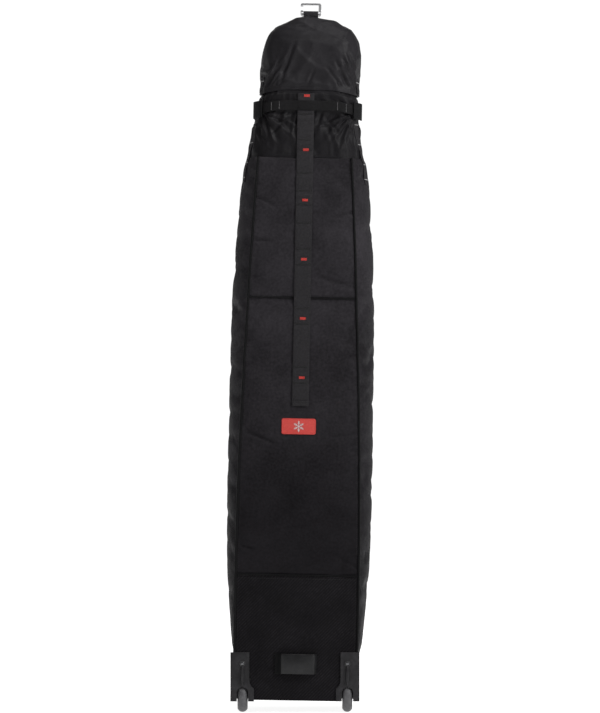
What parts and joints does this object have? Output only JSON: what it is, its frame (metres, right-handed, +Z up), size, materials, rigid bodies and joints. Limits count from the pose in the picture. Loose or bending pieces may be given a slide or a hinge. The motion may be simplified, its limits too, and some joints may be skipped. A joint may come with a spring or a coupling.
{
  "type": "wheeled snowboard bag",
  "caption": "Tall padded wheeled bag for a snowboard, with a fold-down hood and hook, webbing ladder, neck strap, hinged zipped lid, haul handles and corner skate wheels.",
  "frame": {"origin": "on the ground, under the middle of the standing bag", "axes": "+Z up along the bag, -Y the wheel face with its webbing ladder, +Y the lid"},
  "size_m": [0.3458, 0.2496, 1.7109],
  "materials": {
    "body_fabric": "plain-weave coated nylon, black, low sheen",
    "hood_fabric": "lighter ripstop nylon, black, silky sheen",
    "boot_fabric": "heavy ballistic twill, black, matte",
    "webbing": "woven polyester webbing, black",
    "red_thread": "red embroidery thread",
    "piping_cloth": "black bias tape over cord",
    "lining": "smooth grey polyester lining",
    "foam": "closed-cell foam",
    "stiffener": "polyethylene sheet",
    "housing_plastic": "injection-moulded, fine texture",
    "buckle_plastic": "moulded acetal, satin",
    "grip_rubber": "soft satin rubber",
    "zip_cloth": "zip tape",
    "zip_metal": "black enamelled zinc",
    "hook_metal": "satin polished aluminium",
    "steel": "plain steel",
    "wheel_tyre": "mid-grey cast polyurethane",
    "wheel_core": "glass-filled nylon"
  },
  "bodies": {
    "bag": {"boot_panel": "boot_fabric", "back_panel_lower": "body_fabric", "back_panel_upper": "body_fabric", "back_stiffener": "stiffener", "back_foam": "foam", "back_lining": "lining", "gusset_left": "body_fabric", "gusset_right": "body_fabric", "piping_left": "piping_cloth", "piping_right": "piping_cloth", "base_panel": "boot_fabric", "base_board": "stiffener", "neck_sleeve": "body_fabric", "centre_webbing": "webbing", "ladder_tabs": "red_thread", "side_webbing_left": "webbing", "side_webbing_right": "webbing", "neck_strap": "webbing", "buckle_socket": "buckle_plastic", "front_patch": "red_thread", "grab_handle": "grip_rubber", "tow_anchors": "webbing", "lid_rim": "body_fabric", "zip_tape_bag": "zip_cloth", "board_strap_lower": "webbing", "board_strap_upper": "webbing", "board_strap_buckles": "buckle_plastic", "housing_screws": "steel", "axle_left": "steel", "wheel_housing_left": "housing_plastic", "foot_left": "housing_plastic", "axle_right": "steel", "wheel_housing_right": "housing_plastic", "foot_right": "housing_plastic"},
    "lid": {"lid_panel": "body_fabric", "lid_foam": "foam", "lid_lining": "lining", "zip_tape_lid": "zip_cloth", "haul_handle": "webbing"},
    "hood": {"hood_shell": "hood_fabric", "hook_webbing": "webbing", "hood_webbing_left": "webbing", "hood_webbing_right": "webbing"},
    "hook": {"hook": "hook_metal"},
    "wheel_left": {"tyre_left": "wheel_tyre", "wheel_core_left": "wheel_core", "wheel_bearings_left": "steel"},
    "wheel_right": {"tyre_right": "wheel_tyre", "wheel_core_right": "wheel_core", "wheel_bearings_right": "steel"},
    "slider_lower": {"zip_slider_lower": "zip_metal"},
    "slider_upper": {"zip_slider_upper": "zip_metal"},
    "pull_lower": {"zip_pull_lower": "zip_metal"},
    "pull_upper": {"zip_pull_upper": "zip_metal"},
    "buckle": {"buckle_arms": "buckle_plastic", "neck_strap_tail": "webbing"},
    "tow_loop": {"tow_handle": "webbing"}
  },
  "joints": [
    {"name": "wheel_left_spin", "type": "hinge", "parent": "bag", "child": "wheel_left", "pos_m": [-0.137, -0.068, 0.038], "axis": [1, 0, 0], "continuous": true},
    {"name": "wheel_right_spin", "type": "hinge", "parent": "bag", "child": "wheel_right", "pos_m": [0.115, -0.068, 0.038], "axis": [1, 0, 0], "continuous": true},
    {"name": "lid_open", "type": "hinge", "parent": "bag", "child": "lid", "pos_m": [-0.13888, 0.101, 0.63647], "axis": [0.0185, 0, 0.9998], "range_deg": [0, 170]},
    {"name": "zip_lower_slide", "type": "slide", "parent": "lid", "child": "slider_lower", "axis": [0.0185, 0, 0.9998], "range_m": [-0.54, 0]},
    {"name": "zip_upper_slide", "type": "slide", "parent": "lid", "child": "slider_upper", "axis": [0.0185, 0, 0.9998], "range_m": [0, 0.29]},
    {"name": "pull_lower_swing", "type": "hinge", "parent": "slider_lower", "child": "pull_lower", "pos_m": [0.13562, 0.1059, 0.63099], "axis": [0.9998, 0, -0.0185], "range_deg": [0, 160]},
    {"name": "pull_upper_swing", "type": "hinge", "parent": "slider_upper", "child": "pull_upper", "pos_m": [0.13673, 0.1059, 0.69098], "axis": [0.9998, 0, -0.0185], "range_deg": [0, 160]},
    {"name": "hood_fold", "type": "hinge", "parent": "bag", "child": "hood", "pos_m": [0.02382, -0.097, 1.4836], "axis": [0.9998, 0, -0.0185], "range_deg": [0, 150]},
    {"name": "hook_swing", "type": "hinge", "parent": "hood", "child": "hook", "pos_m": [0.02755, -0.021, 1.68557], "axis": [0.9998, 0, -0.0185], "range_deg": [-95, 95]},
    {"name": "buckle_release", "type": "slide", "parent": "bag", "child": "buckle", "axis": [0.9998, 0, -0.0185], "range_m": [0, 0.022]},
    {"name": "tow_swing", "type": "hinge", "parent": "bag", "child": "tow_loop", "pos_m": [0.01486, 0.1, 1.43176], "axis": [0.9998, 0, -0.0185], "range_deg": [0, 150]}
  ]
}
